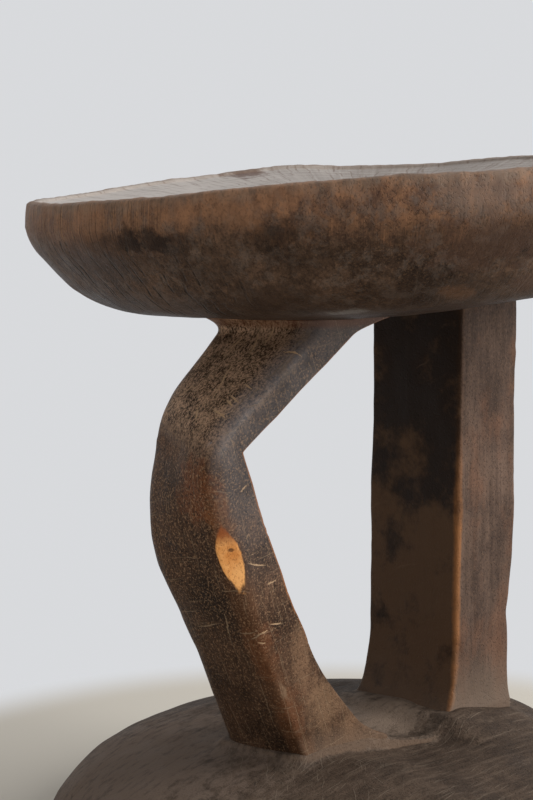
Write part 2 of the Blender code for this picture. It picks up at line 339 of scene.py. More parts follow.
def buildDryingChecks():
    # fine cracks that run out from the middle of the log
    tree, given, result = newGroup(
        "dryingChecks",
        [("Vector", "Vector", (0, 0, 0)), ("Count", "Float", 60.0), ("Amount", "Float", 0.5)],
        [("Mask", "Float"), ("Halo", "Float"), ("Streak", "Float")],
    )
    parts = add("SeparateXYZ", {0: given["Vector"]}).outputs
    flat = add("CombineXYZ", {0: parts[0], 1: parts[1], 2: 0.0}).outputs[0]
    heading = vecCalc("NORMALIZE", flat)
    wander = times(cloud(given["Vector"], 70.0, 3.0), 1.6)
    angle = times(calc("ARCTAN2", parts[1], parts[0]), given["Count"])
    off, broken = strokes(plus(angle, wander), given["Vector"], 85.0)
    least = minus(0.75, times(given["Amount"], 0.5))
    kept = times(minus(broken, least), 8.0, clamp=True)
    link(times(ramp(off, 0.06, 0.16, 1.0, 0.0), kept), result["Mask"])
    link(times(ramp(off, 0.14, 0.26, 1.0, 0.0), kept), result["Halo"])
    aimed = scaled(heading, times(given["Count"], 2.6))
    rise = times(vecCalc("LENGTH", given["Vector"], out=1), 9.0)
    spokes = vecCalc("ADD", aimed, add("CombineXYZ", {2: rise}).outputs[0])
    link(cloud(spokes, 1.0, 3.0, 0.6), result["Streak"])
    return tree


grain = buildGrain()
wornEdge = buildWornEdge()
fineScratches = buildFineScratches()
dryingChecks = buildDryingChecks()


def startWood(name, wood):
    # ground colour of a piece: two browns by mottling, with fine streaks
    material = newMaterial(name)
    where = add("TexCoord").outputs["Object"]
    fibre = place(grain, {"Vector": where, "Fineness": wood["fineness"]})
    tone = plus(times(fibre["Mottle"], 0.65), times(fibre["Shade"], 0.35))
    colour = mixed(ramp(tone, 0.38, 0.62), wood["dark"], wood["light"])
    streak = ramp(fibre["Streak"], 0.35, 0.65, 1.0 - wood["streak"], 1.0 + wood["streak"])
    made = {"material": material, "wood": wood, "where": where, "fibre": fibre}
    made["colour"] = scaled(colour, streak)
    made["height"] = minus(times(fibre["Streak"], 0.5), fibre["Pore"])
    return made


def tint(made, mask, colour, strength=1.0):
    # towards one of the colours listed for the wood, by name, or a mixed one; some of them are painted light or
    # shade
    if isinstance(colour, str):
        colour = made["wood"][colour]
    made["colour"] = mixed(times(mask, strength), made["colour"], colour)


def blob(made, middle, radii, turn=(0.0, 0.0, 0.0), vector="where"):
    # 1 in the middle of an ellipsoid, 0 from its skin outwards
    settings = {"Vector": made[vector], "Location": middle, "Rotation": turn, "Scale": radii}
    local = add("Mapping", settings, vector_type="TEXTURE").outputs[0]
    return add("TexGradient", {"Vector": local}, gradient_type="SPHERICAL").outputs["Fac"]


def ragged(made, value, low, high):
    # a value's smooth step with its edge frayed
    if "fray" not in made:
        made["fray"] = swing(cloud(made["where"], 150.0, 6.0, 0.72), 2.4)
    near = times(value, 7.0, clamp=True)
    return ramp(plus(value, times(made["fray"], near)), low, high)


def tintSpots(made, spots):
    # each spot being (middle, reach, colour, strength)
    for middle, reach, colour, strength in made["wood"][spots]:
        mask = ragged(made, blob(made, middle, [1.2 * r for r in reach]), 0.05, 0.65)
        tint(made, mask, colour, strength)


def speckle(made, share=1.0):
    for mark, colour, strength in (("Speck", "speck", "specks"), ("Pore", "pore", "pores")):
        tint(made, times(made["fibre"][mark], share), colour, made["wood"][strength])


def finishWood(made):
    wood = made["wood"]
    shader = current["tree"].nodes["Principled BSDF"]
    link(made["colour"], shader.inputs["Base Color"])
    rough = ramp(made["fibre"]["Mottle"], 0.3, 0.7, wood["rough"] - 0.08, wood["rough"] + 0.1)
    if "dull" in made:
        rough = plus(rough, times(made["dull"], 0.25), clamp=True)
    link(rough, shader.inputs["Roughness"])
    if "sheen" in made:
        link(made["sheen"], shader.inputs["Coat Weight"])
        shader.inputs["Coat Roughness"].default_value = wood["coatRough"]
    bump = add("Bump", {"Strength": wood["bump"], "Distance": 0.0006, "Height": made["height"]})
    link(bump.outputs[0], shader.inputs["Normal"])
    shader.inputs["Specular IOR Level"].default_value = wood["gloss"]
    return made["material"]


def wornMask(made, edge, breakup):
    settings = {"Edge": attribute(edge), "Vector": made["where"], "Breakup": breakup}
    return place(wornEdge, settings)["Mask"]


def hairLines(made, shares):
    # each kind being (across, amount, wander, where)
    lines = []
    for across, amount, wander, spot in made["wood"]["hairs"]:
        settings = {"Vector": made["where"], "Across": across, "Amount": amount, "Wander": wander}
        lines.append(times(place(fineScratches, settings)["Mask"], shares[spot]))
    return highest(lines)


def scratch(made, colour, facing, width, strength, marks):
    # placed scratches, each a thin ellipsoid lying on the surface
    if "bent" not in made:
        sway = add("TexNoise", {"Vector": made["where"], "Scale": 150.0, "Detail": 2.0}).outputs["Color"]
        sway = vecCalc("SUBTRACT", sway, (0.5, 0.5, 0.5))
        made["bent"] = vecCalc("ADD", made["where"], scaled(sway, 0.0016))
    masks = []
    for start, end in marks:
        run = Vector(end) - Vector(start)
        side = Vector(facing).cross(run).normalized()
        turn = Matrix((run.normalized(), side, run.normalized().cross(side))).transposed().to_euler()
        middle = (Vector(start) + Vector(end)) / 2
        masks.append(blob(made, middle, (run.length * 0.66, width, 0.012), turn, "bent"))
    speck = times(minus(made["fibre"]["Speck"], 0.4), 0.35)
    total = ramp(plus(highest(masks), speck), 0.15, 0.6)
    tint(made, total, colour, strength)
    made["height"] = minus(made["height"], total)


# directions across and into the picture, seen from above
acrossView, intoView = (0.719, -0.694), (0.694, 0.719)


# seat: a turned bowl with a hollow top, leaned and waved as it was carved

seatShape = {
    "radius": 0.1514,
    "height": 0.311,
    "thickness": 0.0625,
    "band": 0.012,
    "bandLean": 0.0008,
    "dish": 0.011,
    "dishFullness": 2.4,
    "lip": 0.006,
    "lipRise": 0.0015,
    "climbToPost": 0.057,
    "climbToFront": 0.027,
    "wave": 0.002,
    "twist": 0.0155,
    "twistMiddle": 0.02,
    "twistRun": (-0.06, 0.06),
    "leftDrop": 0.0020,
    "leftRun": (-0.09, -0.15),
    "bowl": (
        (0, 0), (0.27, 0.015), (0.63, 0.15), (0.765, 0.225), (0.860, 0.40),
        (0.898, 0.52), (0.948, 0.70), (0.974, 0.80), (0.992, 0.91), (1, 1),
    ),
    "bowlCrowding": 1.4,
    "steps": 448,
    "dishRings": 40,
    "lipRings": 10,
    "bandRings": 9,
    "bowlRings": 70,
    "rimWear": 0.005,
    "topEdge": (0.0008, -0.0022),
    "waves": ((0.0004, 0.022, 1.0),),
    "toolMarks": (0.016, 0.00045),
    "tears": ((0.00035, 0.0035, 5.0),),
    "swells": ((0.0009, 0.06, 4.0),),
    "swellRun": (0.05, 0.13),
    "nearRun": (-0.03, -0.10),
    "nearBumps": ((0.004, 0.034, 0.0021), (-0.052, 0.030, 0.0014)),
    "farRun": (0.03, 0.10),
    "farBumps": ((-0.034, 0.036, 0.0036), (0.085, 0.032, 0.0024), (-0.118, 0.018, -0.0006)),
}
seatBelly = seatShape["height"] - seatShape["thickness"]


def seatBottom(x, y):
    # height of the underside, where the supports end
    share = min(math.hypot(x, y) / seatShape["radius"], 1.0)
    rise = (seatShape["thickness"] - seatShape["band"]) * curveAt(seatShape["bowl"], share)
    return seatBelly + rise + seatShape["climbToPost"] * x - seatShape["climbToFront"] * y


def makeSeat(material):
    s = seatShape
    girth = s["height"] - s["band"]
    crest = s["radius"] - s["bandLean"] - s["lip"] / 2
    lipFoot = s["height"] - s["lipRise"]
    profile = []
    for i in range(s["dishRings"] + 1):
        share = i / s["dishRings"]
        profile.append(
            ((crest - s["lip"] / 2) * share, lipFoot - s["dish"] * (1 - share ** s["dishFullness"]))
        )
    for i in range(1, s["lipRings"] + 1):
        turn = math.pi * i / s["lipRings"]
        profile.append((crest - s["lip"] / 2 * math.cos(turn), lipFoot + s["lipRise"] * math.sin(turn)))
    for i in range(1, s["bandRings"]):
        share = i / s["bandRings"]
        profile.append((s["radius"] - s["bandLean"] * (1 - share) ** 2, lipFoot + (girth - lipFoot) * share))
    for i in range(s["bowlRings"] + 1):
        share = 1 - (i / s["bowlRings"]) ** s["bowlCrowding"]
        profile.append((s["radius"] * share, seatBelly + (girth - seatBelly) * curveAt(s["bowl"], share)))
    bm = turned(profile, s["steps"])
    bm.normal_update()
    rim, drop, top = (bm.verts.layers.float.new(mark) for mark in ("rim", "drop", "top"))
    normals = {v: v.normal.copy() for v in bm.verts}
    for vert in bm.verts:
        x, y, z = vert.co
        far = math.hypot(x, y)
        vert[rim] = math.exp(-(((far - crest) / s["rimWear"]) ** 2)) * eased(girth, lipFoot, z)
        vert[drop] = (s["height"] - z) / s["thickness"]
        vert[top] = eased(*s["topEdge"], far - crest) * eased(-0.2, 0.3, normals[vert].z)
        upper = (z - seatBelly) / s["thickness"]
        across, inwards = (a * x + b * y for a, b in (acrossView, intoView))
        twisted = s["twist"] * (across - s["twistMiddle"]) * eased(*s["twistRun"], inwards)
        twisted -= s["leftDrop"] * eased(*s["leftRun"], across)
        wave = s["wave"] * (y * y - x * x) / s["radius"] ** 2 * upper
        swell = ripples((x, y, 0), s["swells"]) * eased(*s["swellRun"], far)
        swell += bumps(s["farBumps"], across) * eased(*s["farRun"], inwards)
        swell += bumps(s["nearBumps"], across) * eased(*s["nearRun"], inwards)
        torn = ripples((x, y, 0.2 * z), s["tears"]) * vert[rim]
        uneven = ripples(vert.co, s["waves"]) + toolMarks(vert.co, *s["toolMarks"])
        vert.co += normals[vert] * (uneven + torn)
        vert.co.z += s["climbToPost"] * x - s["climbToFront"] * y + wave + (swell + twisted) * upper
    finishPiece("carvedSeat", bm, material, "seat")


seatWood = {
    "light": (0.104, 0.062, 0.041, 1),
    "dark": (0.031, 0.018, 0.012, 1),
    "speck": (0.21, 0.122, 0.070, 1),
    "specks": 0.33,
    "pore": (0.007, 0.004, 0.003, 1),
    "pores": 0.32,
    "streak": 0.3,
    "fineness": 1.0,
    "rough": 0.5,
    "gloss": 0.08,
    "coatRough": 0.58,
    "bump": 0.5,
    "rimLight": (0.33, 0.165, 0.088, 1),
    "rimDark": (0.112, 0.060, 0.040, 1),
    "gold": (0.42, 0.235, 0.115, 1),
    "grey": (0.150, 0.116, 0.097, 1),
    # painted highlight colour, a pale stand-in for reflected light
    "paintedHighlight": (0.27, 0.25, 0.23, 1),
    "brown": (0.048, 0.024, 0.013, 1),
    "worn": (0.27, 0.200, 0.150, 1),
    # top colours, paler than the wood: partly its own worn colour, partly painted reflection
    "topLight": (0.46, 0.415, 0.38, 1),
    "topDark": (0.235, 0.200, 0.175, 1),
    "black": (0.013, 0.007, 0.0045, 1),
    "crackEdge": (0.17, 0.12, 0.085, 1),
    "spots": (
        ((-0.1480, -0.0072, 0.2844), (0.010, 0.008, 0.0045), "black", 0.5),
        ((-0.1479, -0.0164, 0.2860), (0.010, 0.008, 0.0065), "black", 0.75),
        ((-0.1463, -0.0245, 0.2850), (0.010, 0.011, 0.0060), "black", 0.75),
        ((-0.1430, -0.0370, 0.2840), (0.010, 0.013, 0.0050), "black", 0.5),
        ((-0.1270, -0.0765, 0.2885), (0.014, 0.014, 0.0080), "black", 0.55),
        ((-0.1340, -0.0460, 0.2730), (0.018, 0.022, 0.0100), "black", 0.35),
        ((-0.1184, -0.0796, 0.2770), (0.018, 0.020, 0.0090), "black", 0.4),
        ((-0.1490, 0.0100, 0.2930), (0.010, 0.016, 0.0090), "rimLight", 0.4),
        ((-0.1433, -0.0404, 0.2965), (0.010, 0.012, 0.0080), "rimLight", 0.5),
        ((-0.1252, -0.0783, 0.3030), (0.012, 0.014, 0.0060), "rimLight", 0.4),
        ((-0.0700, -0.1310, 0.3040), (0.026, 0.014, 0.0090), "rimLight", 0.2),
        ((-0.0734, -0.1298, 0.3029), (0.030, 0.022, 0.0120), "grey", 0.55),
        ((-0.1335, -0.0640, 0.2975), (0.012, 0.016, 0.0090), "rimLight", 0.4),
        ((-0.1130, -0.0600, 0.2620), (0.022, 0.024, 0.0100), "dark", 0.55),
        ((-0.0540, -0.1330, 0.2830), (0.024, 0.016, 0.0120), "black", 0.5),
        ((-0.1455, 0.0060, 0.2770), (0.014, 0.030, 0.0110), "brown", 0.45),
        ((-0.0680, -0.1080, 0.2680), (0.032, 0.028, 0.0100), "dark", 0.4),
        ((-0.0620, -0.1085, 0.2640), (0.010, 0.008, 0.0050), "rimLight", 0.28),
        ((-0.0300, -0.1200, 0.2680), (0.014, 0.010, 0.0050), "rimDark", 0.6),
        ((-0.0650, -0.1260, 0.2850), (0.040, 0.024, 0.0140), "rimDark", 0.45),
    ),
    # painted highlight: a pale spot on the seat's underside beside the leg, in place of reflected light
    "paintedHighlightSpots": (((-0.0860, -0.0745, 0.2555), (0.0085, 0.0090, 0.0036), "paintedHighlight", 0.42),),
    "farSpot": (((0.0525, 0.131, 0.3125), (0.015, 0.014, 0.008), "rimDark", 0.9),),
}


def makeSeatWood():
    w = seatWood
    made = startWood("seatWood", w)
    where, fibre = made["where"], made["fibre"]
    spokes = place(dryingChecks, {"Vector": where, "Count": 30.0, "Amount": 0.62})
    fine = place(dryingChecks, {"Vector": where, "Count": 140.0, "Amount": 0.4})
    uneven = swing(fibre["Mottle"], 0.75)
    uneven = plus(uneven, swing(fibre["Shade"], 0.4))
    uneven = plus(uneven, swing(fine["Streak"], 0.3))
    upper = ramp(plus(attribute("drop"), uneven), 0.12, 0.42, 1.0, 0.0)
    patch = cloud(stretched(where, (1, 1, 0.75), (5, 1, 2)), 165.0, 5.0, 0.7)
    along = vecCalc("DOT_PRODUCT", where, (-acrossView[0], -acrossView[1], 0.0), out=1)
    out = vecCalc("LENGTH", vecCalc("MULTIPLY", where, (1.0, 1.0, 0.0)), out=1)
    left = ramp(along, 0.065, 0.105)
    lined = mixed(ramp(left, 0.0, 1.0, 0.06, 0.8), patch, fine["Streak"])
    lined = plus(times(lined, 0.7), times(fibre["Mottle"], 0.3))
    red = mixed(ramp(lined, 0.40, 0.60), w["rimDark"], w["rimLight"])
    tint(made, upper, red, 0.9)
    golden = times(ramp(fine["Streak"], 0.52, 0.64), times(left, upper))
    tint(made, golden, "gold", 0.6)
    grey = ramp(cloud(stretched(where, (1, 1, 0.8), (9, 3, 7)), 150.0, 5.0, 0.7), 0.47, 0.62)
    tint(made, grey, "grey", 0.45)
    speckle(made)
    tintSpots(made, "spots")
    below = ramp(attribute("drop"), 0.55, 0.9)
    tint(made, below, "dark", 0.6)
    # painted highlight on the underside
    tintSpots(made, "paintedHighlightSpots")
    # the top is painted pale grey: partly its own worn colour, partly painted reflection of the bright
    # surroundings seen at a grazing angle, lighter towards the left
    top = attribute("top")
    flat = add("CombineXYZ", {0: plus(out, times(fibre["Shade"], 0.02))}).outputs[0]
    rings = cloud(flat, 330.0, 3.0, 0.6)
    topGrainAndSheen = plus(times(rings, 0.45), times(fibre["Mottle"], 0.35))
    topGrainAndSheen = plus(topGrainAndSheen, times(spokes["Streak"], 0.2))
    topGrainAndSheen = plus(topGrainAndSheen, ramp(along, -0.05, 0.12, -0.07, 0.13))
    tint(made, top, mixed(ramp(topGrainAndSheen, 0.36, 0.66), w["topDark"], w["topLight"]))
    tint(made, times(spokes["Mask"], top), "rimDark", 0.5)
    tintSpots(made, "farSpot")
    worn = wornMask(made, "rim", 1.2)
    tint(made, worn, "worn", 0.4)
    side = minus(1.0, top)
    cracked = ragged(made, blob(made, (-0.128, 0.018, 0.262), (0.06, 0.085, 0.028)), 0.05, 0.6)
    kept = times(side, plus(times(cracked, 0.9), 0.1))
    tint(made, times(spokes["Halo"], kept), "crackEdge", 0.3)
    cuts = times(spokes["Mask"], kept)
    tint(made, cuts, "pore", 0.9)
    lines = times(fine["Mask"], times(side, left))
    tint(made, lines, "pore", 0.9)
    cut = plus(times(cuts, 2.5), lines)
    made["height"] = minus(made["height"], cut)
    made["sheen"] = times(top, 0.3)
    return finishWood(made)


# bent leg: level rings between three edges, each a thigh and a shin that meet at the knee

plinthTop = 0.0567
halfWidth = 0.0265
legShape = {
    "hipX": -0.050,
    "kneeX": -0.1215,
    "footX": -0.0615,
    "hipThick": 0.0255,
    "kneeThick": 0.024,
    "footThick": 0.015,
    "kneeDrop": 0.049,
    "crotchDrop": 0.052,
    "kneeRound": 0.010,
    "crotchRound": 0.0003,
    "calfBow": 0.004,
    "footFlare": (0.069, 0.030, 1.5),
    "footCurve": (0.011, 0.008, 2.0),
    "footSpread": (0.012, 0.0006, 2.0),
    "topFlare": (0.008, 0.016, 2.0),
    "outerFlare": (0.0085, 0.0165, 2.1),
    "ridgeFlare": 0.25,
    "backHip": 0.014,
    "backKnee": 0.001,
    "backFoot": 0.0025,
    "backKneeDrop": 0.0595,
    "backKneeRound": 0.022,
    "bulge": 0.003,
    "backRound": (
        (0.05, 0.0160), (0.10, 0.0150), (0.13, 0.0125), (0.165, 0.0104), (0.195, 0.0094),
        (0.215, 0.0115), (0.235, 0.0145), (0.255, 0.0160),
    ),
    "ridgeRound": (
        (0.05, 0.0025), (0.085, 0.0035), (0.125, 0.0062), (0.155, 0.0094), (0.19, 0.0100),
        (0.215, 0.0105), (0.255, 0.0085),
    ),
    "innerRound": 0.0010,
    "cornerSteps": (12, 3, 3, 18),
    "sideSteps": (24, 46, 20, 44),
    "step": 0.00095,
    "topStep": 0.0004,
    "chipMiddle": 0.1525,
    "chipReach": (0.0168, 0.0160),
    "chipDepth": 0.0015,
    "chipFacing": (-0.63, -0.777, 0.0),
    "innerBumps": ((0.118, 0.014, 0.0042), (0.142, 0.016, 0.0022)),
    "backBumps": (
        (0.216, 0.013, -0.0034), (0.2060, 0.005, -0.0012), (0.2008, 0.0038, -0.0009),
        (0.195, 0.015, 0.0040), (0.176, 0.012, 0.0012), (0.143, 0.019, -0.0034),
    ),
    "hipInset": 0.0033,
    "sunk": 0.005,
    "buried": 0.0035,
    "denseBelow": 0.007,
    "plainEnds": (0.012, 0.006),
    "outerShare": (0.6, 0.1),
    "sideFacing": (0.35, 0.9),
    "collar": (0.0045, 0.002),
    "ridgeWear": 0.0095,
    "innerWear": 0.0016,
    "waves": ((0.0005, 0.026, 2.0), (0.0002, 0.009, 6.0)),
    "toolMarks": (0.013, 0.00024),
    "nicks": (3, 0.012, 9.0, 0.003),
    "nickRun": (0.19, 0.14),
}


def bentEdge(z, hipX, kneeX, footX, kneeZ, rounding):
    thigh = kneeX + (hipX - kneeX) * (z - kneeZ) / (seatBelly - kneeZ)
    shin = kneeX + (footX - kneeX) * (z - kneeZ) / (plinthTop - kneeZ)
    return smoothMax(thigh, shin, rounding)


def legEdges(z):
    s = legShape
    kneeZ = seatBelly - s["kneeDrop"]
    bow = s["calfBow"] * math.sin(math.pi * min(max((z - plinthTop) / (kneeZ - plinthTop), 0.0), 1.0))
    outFlare = flare(seatBelly - z, s["outerFlare"])
    ridge = bentEdge(z, s["hipX"], s["kneeX"], s["footX"], kneeZ, s["kneeRound"])
    ridge -= bow + outFlare * s["ridgeFlare"]
    back = bentEdge(
        z,
        s["hipX"] - s["backHip"],
        s["kneeX"] - s["backKnee"],
        s["footX"] - s["backFoot"],
        seatBelly - s["backKneeDrop"],
        s["backKneeRound"],
    )
    inner = bentEdge(
        z,
        s["hipX"] + s["hipThick"],
        s["kneeX"] + s["kneeThick"],
        s["footX"] + s["footThick"],
        seatBelly - s["crotchDrop"],
        s["crotchRound"],
    )
    inner += flare(z - plinthTop, s["footFlare"])
    inner += flare(z - plinthTop, s["footCurve"])
    inner += flare(seatBelly - z, s["topFlare"])
    inner += s["hipInset"] * min(max((z - seatBelly) / s["crotchDrop"] + 1, 0.0), 1.0)
    inner += bumps(s["innerBumps"], z)
    return ridge, back - outFlare + bumps(s["backBumps"], z), inner


def makeLeg(material):
    s = legShape
    bottom, top = plinthTop - s["sunk"], seatBelly + s["buried"]
    dense = seatBelly - s["denseBelow"]
    crotch = seatBelly - s["crotchDrop"]
    count = round((dense - bottom) / s["step"])
    heights = [bottom + (dense - bottom) * i / count for i in range(count)]
    nearest = min(range(len(heights)), key=lambda i: abs(heights[i] - crotch))
    heights[nearest] = crotch
    count = round((top - dense) / s["topStep"])
    heights += [dense + (top - dense) * i / count for i in range(count + 1)]
    levels = []
    for z in heights:
        ridge, back, inner = legEdges(z)
        half = halfWidth + flare(z - plinthTop, s["footSpread"])
        corners = (
            (ridge, -half, curveAt(s["ridgeRound"], z)),
            (inner, -half, s["innerRound"]),
            (inner, half, s["innerRound"]),
            (back, half, curveAt(s["backRound"], z)),
        )
        corners = [corner + (steps,) for corner, steps in zip(corners, s["cornerSteps"])]
        ring = []
        for x, y, corner, gap in roundedOutline(corners, s["sideSteps"]):
            # the outer face swells between its two edges
            across = (y + half) / (2 * half)
            outer = eased(*s["outerShare"], (x - min(ridge, back)) / (inner - min(ridge, back)))
            swell = s["bulge"] * 4 * across * (1 - across) * outer
            ring.append((x - swell, y, z, corner, gap, outer))
        levels.append(ring)
    bm, rings, layers = stackedRings(levels, ("ridge", "arris", "outer", "chip", "collar", "side"))
    ridgeWear, innerWear, outerFace, chip, collar, sideFace = layers
    bm.normal_update()
    normals = {v: v.normal.copy() for v in bm.verts}
    for ring, places in zip(rings, levels):
        z = places[0][2]
        for vert, (x, y, _, corner, gap, outer) in zip(ring, places):
            vert[ridgeWear] = math.exp(-((gap / s["ridgeWear"]) ** 2)) if corner == 0 else 0.0
            vert[innerWear] = math.exp(-((gap / s["innerWear"]) ** 2)) if corner in (1, 2) else 0.0
            vert[outerFace] = outer
            vert[sideFace] = eased(*s["sideFacing"], -normals[vert].y)
            vert[collar] = eased(*s["collar"], seatBottom(x, y) - z)
            uneven = ripples(vert.co, s["waves"]) + toolMarks(vert.co, *s["toolMarks"])
            ends = eased(0.0, s["plainEnds"][0], z - bottom) * eased(0.0, s["plainEnds"][1], top - z)
            nick = nicks((x, y, z), *s["nicks"]) * vert[innerWear] * eased(*s["nickRun"], z)
            vert.co += normals[vert] * (uneven * ends - nick)
        # a flat chip struck off the ridge, pointed at both ends; its mark is the cut's depth in millimetres
        along = min(abs(z - s["chipMiddle"]) / s["chipReach"][z > s["chipMiddle"]], 1.0)
        facing = Vector(s["chipFacing"])
        level = max(vert.co.dot(facing) for vert in ring) - s["chipDepth"] * (1 - along**2) ** 2
        for vert in ring:
            over = vert.co.dot(facing) - level
            vert.co -= facing * max(over, 0.0)
            vert[chip] = min(max(1000 * over, -1.0), 1.0) if along < 1.0 else -1.0
    finishPiece("kneeLeg", bm, material, "knee_leg")


legWood = {
    "light": (0.106, 0.056, 0.033, 1),
    "dark": (0.040, 0.0215, 0.0130, 1),
    "speck": (0.39, 0.228, 0.128, 1),
    "specks": 0.5,
    "pore": (0.008, 0.0048, 0.0035, 1),
    "pores": 0.7,
    "streak": 0.25,
    "fineness": 1.0,
    "rough": 0.48,
    "gloss": 0.07,
    "coatRough": 0.58,
    "bump": 0.5,
    "outer": (0.022, 0.013, 0.008, 1),
    # tan of the thigh's outer face, partly its own flecks and partly painted light
    "thighTanAndLight": (0.64, 0.41, 0.265, 1),
    "dustAndPaintedLight": (0.150, 0.098, 0.066, 1),
    # painted sheen: a greyish stand-in for reflected light on the side faces
    "paintedSheenGrey": (0.068, 0.057, 0.057, 1),
    # painted sheen colour for the ridge
    "paintedRidgeSheen": (0.158, 0.150, 0.162, 1),
    # painted highlight colour, a bluish-white stand-in for reflected light
    "paintedHighlight": (0.56, 0.57, 0.63, 1),
    "ridge": (0.20, 0.080, 0.032, 1),
    "red": (0.15, 0.055, 0.024, 1),
    "arris": (0.34, 0.13, 0.045, 1),
    "tan": (0.22, 0.130, 0.075, 1),
    "black": (0.010, 0.006, 0.004, 1),
    "chip": (1.0, 0.50, 0.175, 1),
    "chipDark": (0.80, 0.31, 0.080, 1),
    "chipRed": (0.36, 0.10, 0.025, 1),
    "scratch": (0.52, 0.34, 0.20, 1),
    "thinScratch": (0.27, 0.185, 0.115, 1),
    "hairs": (
        ((10, 330, -10), 0.70, 1.2, "thigh"),
        ((70, 260, -70), 0.58, 1.2, "thigh"),
        ((40, 300, 20), 0.52, 1.2, "shin"),
        ((60, 40, 260), 0.50, 1.2, "shin"),
        ((330, 0, 120), 0.55, 1.2, "side"),
        ((-60, 0, 300), 0.50, 1.2, "side"),
    ),
    "spots": (
        ((-0.1156, -0.0150, 0.1800), (0.012, 0.013, 0.018), "red", 0.85),
        ((-0.1110, -0.0235, 0.1700), (0.010, 0.006, 0.010), "ridge", 0.45),
        ((-0.0868, -0.0233, 0.1080), (0.012, 0.006, 0.018), "red", 0.45),
        ((-0.0700, -0.0265, 0.0780), (0.010, 0.006, 0.016), "red", 0.35),
        ((-0.1000, -0.0090, 0.1310), (0.012, 0.014, 0.013), "black", 0.6),
        ((-0.0699, -0.0130, 0.0680), (0.014, 0.016, 0.012), "black", 0.5),
        ((-0.0650, -0.0215, 0.0625), (0.010, 0.008, 0.009), "black", 0.55),
        ((-0.0640, -0.0265, 0.1060), (0.008, 0.010, 0.016), "tan", 0.4),
        ((-0.0500, -0.0265, 0.0800), (0.012, 0.010, 0.014), "tan", 0.55),
    ),
    # painted highlight: a small bright spot at the bend of the ridge, in place of a reflection of light
    "paintedHighlightSpots": (((-0.1158, -0.0231, 0.2015), (0.004, 0.0035, 0.0055), "paintedHighlight", 0.6),),
    "knot": (((-0.1035, -0.0245, 0.1556), (0.0018, 0.0018, 0.0010), "black", 0.7),),
}
thighMarks = (
    ((-0.0695, -0.0207, 0.2363), (-0.0651, -0.0265, 0.2358)),
    ((-0.0886, -0.0164, 0.2234), (-0.0893, -0.0228, 0.2218)),
    ((-0.0968, -0.0140, 0.2175), (-0.0989, -0.0215, 0.2151)),
    ((-0.0945, -0.0139, 0.2192), (-0.0967, -0.0223, 0.2166)),
    ((-0.1016, -0.0106, 0.2137), (-0.1040, -0.0217, 0.2115)),
    ((-0.1044, -0.0176, 0.2114), (-0.1024, -0.0201, 0.2127)),
)
slopeMarks = (
    ((-0.0776, 0.0057, 0.2327), (-0.0692, 0.0031, 0.2403)),
    ((-0.0775, -0.0076, 0.2330), (-0.0647, -0.0028, 0.2437)),
    ((-0.0982, -0.0079, 0.2164), (-0.0791, -0.0016, 0.2320)),
    ((-0.0708, -0.0098, 0.2379), (-0.0624, -0.0089, 0.2446)),
    ((-0.0953, 0.0118, 0.2143), (-0.0896, 0.0093, 0.2207)),
    ((-0.1078, -0.0070, 0.2081), (-0.1007, -0.0021, 0.2135)),
)
sideMarks = (
    ((-0.0973, -0.0265, 0.1498), (-0.0838, -0.0265, 0.1466)),
    ((-0.1003, -0.0265, 0.1799), (-0.0955, -0.0265, 0.1832)),
    ((-0.0849, -0.0265, 0.1383), (-0.0785, -0.0265, 0.1400)),
    ((-0.0839, -0.0265, 0.1215), (-0.0744, -0.0265, 0.1202)),
    ((-0.0900, -0.0265, 0.1172), (-0.0830, -0.0265, 0.1185)),
    ((-0.0890, -0.0265, 0.1140), (-0.0849, -0.0265, 0.1132)),
)
shinMarks = (
    ((-0.0900, 0.0109, 0.1158), (-0.0953, -0.0111, 0.1215)),
    ((-0.0926, -0.0170, 0.1170), (-0.0890, -0.0265, 0.1197)),
    ((-0.0906, -0.0216, 0.1152), (-0.0869, -0.0265, 0.1178)),
    ((-0.0979, -0.0139, 0.1282), (-0.0915, -0.0113, 0.1127)),
)
# each group being (colour, facing, width, strength, marks)
legScratches = (
    ("scratch", (-0.64, 0.0, 0.77), 0.0009, 0.95, slopeMarks),
    ("scratch", (-0.61, 0.0, 0.79), 0.0009, 1.0, thighMarks),
    ("scratch", (0.0, -1.0, 0.0), 0.0007, 0.75, sideMarks),
    ("thinScratch", (-0.92, 0.0, -0.39), 0.0007, 0.8, shinMarks),
)


